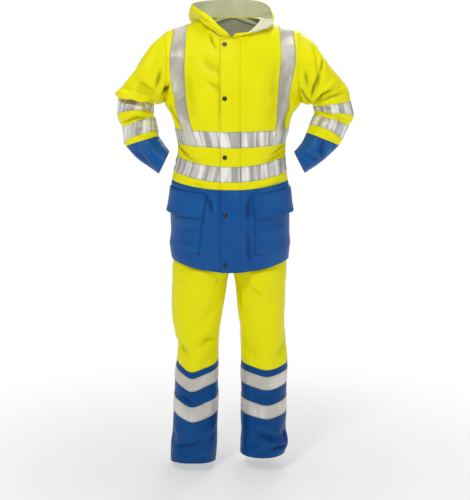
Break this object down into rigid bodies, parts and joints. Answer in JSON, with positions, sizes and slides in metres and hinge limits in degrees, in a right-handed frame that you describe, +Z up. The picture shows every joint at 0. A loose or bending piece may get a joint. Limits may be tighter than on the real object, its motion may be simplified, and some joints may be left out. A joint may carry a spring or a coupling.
{
  "type": "rain suit",
  "caption": "Hooded high-visibility rain jacket over matching trousers, in coated cloth with reflective tapes, shaped as worn with the hands on the hips.",
  "frame": {"origin": "between the shoulders, where the wearer's neck and shoulders carry the jacket", "axes": "+X to the wearer's left, +Y to the wearer's back, +Z up"},
  "size_m": [0.8144, 0.3469, 1.6117],
  "materials": {
    "yellow_cloth": "coated, semi-matt",
    "blue_cloth": "coated, semi-matt",
    "silver_tape": "reflective, satin",
    "black_plastic": "satin"
  },
  "bodies": {
    "root": {"hood": "yellow_cloth", "jacket_back_lower": "blue_cloth", "jacket_back_upper": "yellow_cloth", "jacket_front_left_lower": "blue_cloth", "jacket_front_left_upper": "yellow_cloth", "jacket_front_right_lower": "blue_cloth", "jacket_front_right_upper": "yellow_cloth", "pocket_flap_left": "blue_cloth", "pocket_flap_right": "blue_cloth", "pocket_left": "blue_cloth", "pocket_right": "blue_cloth", "sleeve_left_lower": "blue_cloth", "sleeve_left_upper": "yellow_cloth", "sleeve_right_lower": "blue_cloth", "sleeve_right_upper": "yellow_cloth", "snap_1": "black_plastic", "snap_2": "black_plastic", "snap_3": "black_plastic", "snap_4": "black_plastic", "snap_5": "black_plastic", "storm_flap_lower": "blue_cloth", "storm_flap_upper": "yellow_cloth", "tape_body_lower": "silver_tape", "tape_body_upper": "silver_tape", "tape_brace_left": "silver_tape", "tape_brace_right": "silver_tape", "tape_flap_lower": "silver_tape", "tape_flap_upper": "silver_tape", "tape_leg_left_1": "silver_tape", "tape_leg_left_2": "silver_tape", "tape_leg_right_1": "silver_tape", "tape_leg_right_2": "silver_tape", "tape_sleeve_left_1": "silver_tape", "tape_sleeve_left_2": "silver_tape", "tape_sleeve_right_1": "silver_tape", "tape_sleeve_right_2": "silver_tape", "trousers_back_left_lower": "blue_cloth", "trousers_back_left_upper": "yellow_cloth", "trousers_back_right_lower": "blue_cloth", "trousers_back_right_upper": "yellow_cloth", "trousers_front_left_lower": "blue_cloth", "trousers_front_left_upper": "yellow_cloth", "trousers_front_right_lower": "blue_cloth", "trousers_front_right_upper": "yellow_cloth", "trousers_waistband": "yellow_cloth"}
  },
  "joints": []
}
